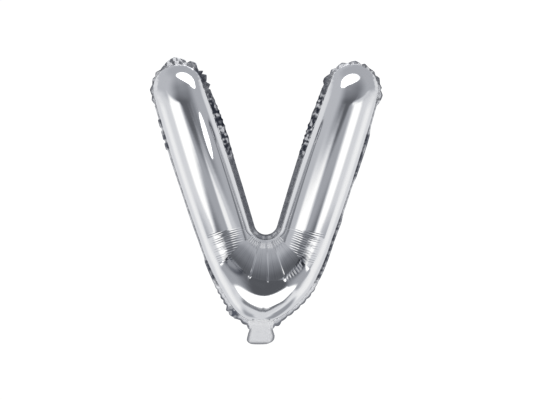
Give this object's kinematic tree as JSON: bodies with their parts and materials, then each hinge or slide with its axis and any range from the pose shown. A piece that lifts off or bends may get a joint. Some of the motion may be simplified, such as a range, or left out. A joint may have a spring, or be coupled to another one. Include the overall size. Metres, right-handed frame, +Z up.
{
  "type": "letter foil balloon",
  "caption": "Inflated letter V of silver film with a welded seam all round and a flat filling neck that folds at its root.",
  "frame": {"origin": "middle of the filling neck's root, on its fold line in the seam plane, where a ribbon is tied", "axes": "+Z up the letter, -Y to the front, +X to the letter's right as seen from the front"},
  "size_m": [0.3, 0.0878, 0.3713],
  "materials": {
    "foil": "metallised plastic film, mirror bright, blown tight",
    "seam_foil": "metallised plastic film, welded and crumpled",
    "valve_film": "clear plastic film"
  },
  "bodies": {
    "envelope": {"front_panel": "foil", "back_panel": "foil", "seam_flange": "seam_foil"},
    "neck": {"neck_front": "foil", "neck_back": "foil", "valve_sleeve": "valve_film"}
  },
  "joints": [
    {"name": "neck_fold", "type": "hinge", "parent": "envelope", "child": "neck", "pos_m": [0, 0, 0], "axis": [1, 0, 0], "range_deg": [-110, 110], "stiffness_Nm_per_rad": 0.0003}
  ]
}
